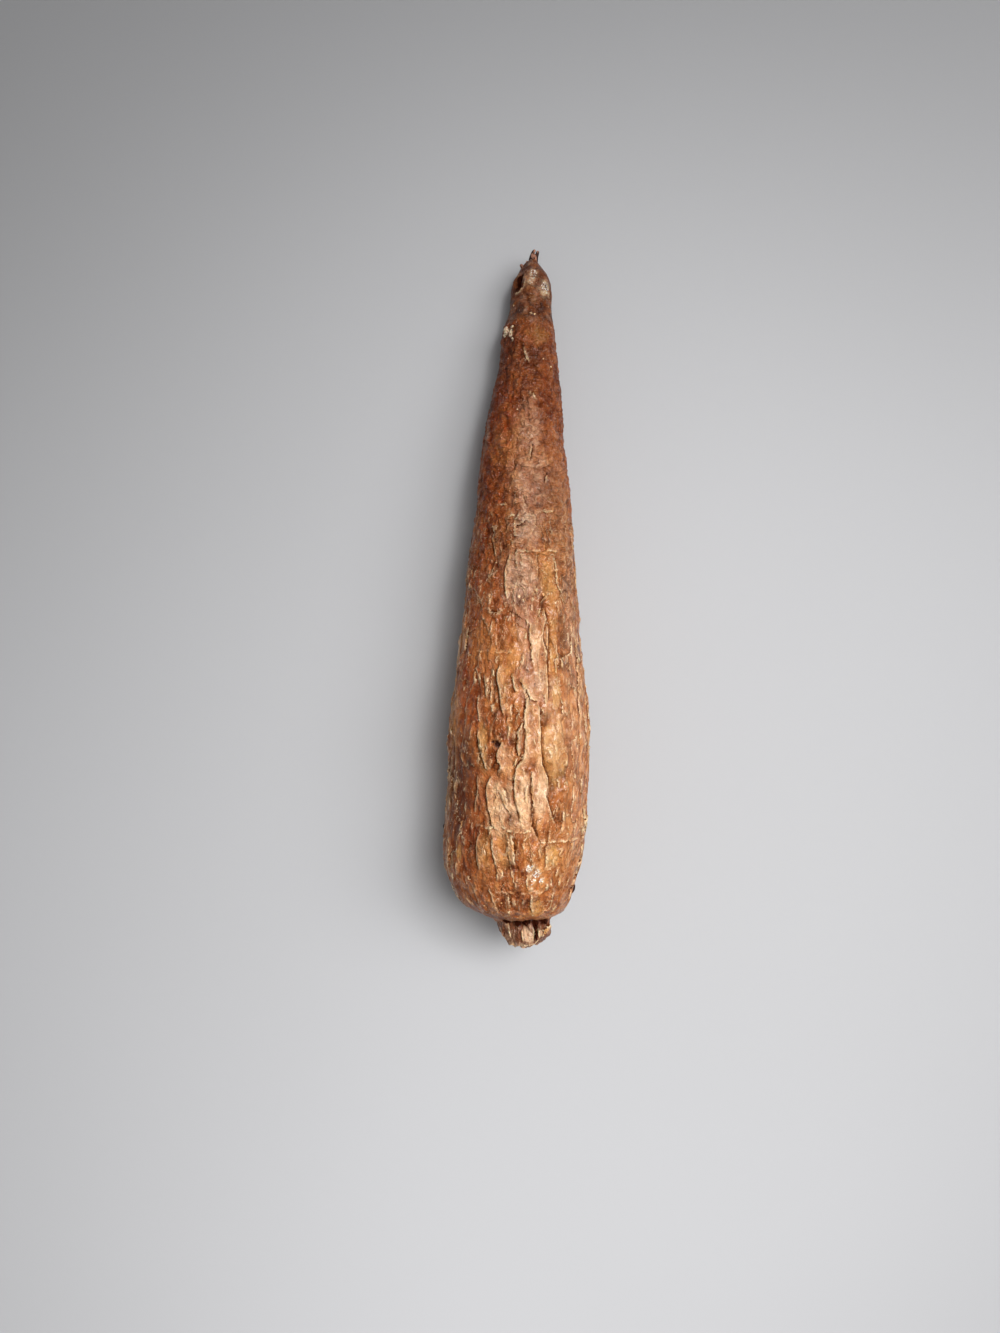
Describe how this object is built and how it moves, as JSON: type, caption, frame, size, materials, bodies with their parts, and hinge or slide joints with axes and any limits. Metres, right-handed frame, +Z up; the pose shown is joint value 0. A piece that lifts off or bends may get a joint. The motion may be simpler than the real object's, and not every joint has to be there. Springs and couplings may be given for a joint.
{
  "type": "cassava root",
  "caption": "Long tapering starchy root with flaking, waxed bark, a woody neck where it was broken off its stem and a thin capped tip; lies on its side.",
  "frame": {"origin": "on the surface the root lies on, under the middle of its bounding box", "axes": "+Y along the root towards its thin tip, +Z up out of the side that faces up as it lies, +X to the right when it is seen from above with the tip at the top"},
  "size_m": [0.0608, 0.3, 0.0556],
  "materials": {
    "waxed_bark": "flaking root bark under a thin coat of food wax, satin to glossy"
  },
  "bodies": {
    "root": {"cassava_root": "waxed_bark"}
  },
  "joints": []
}
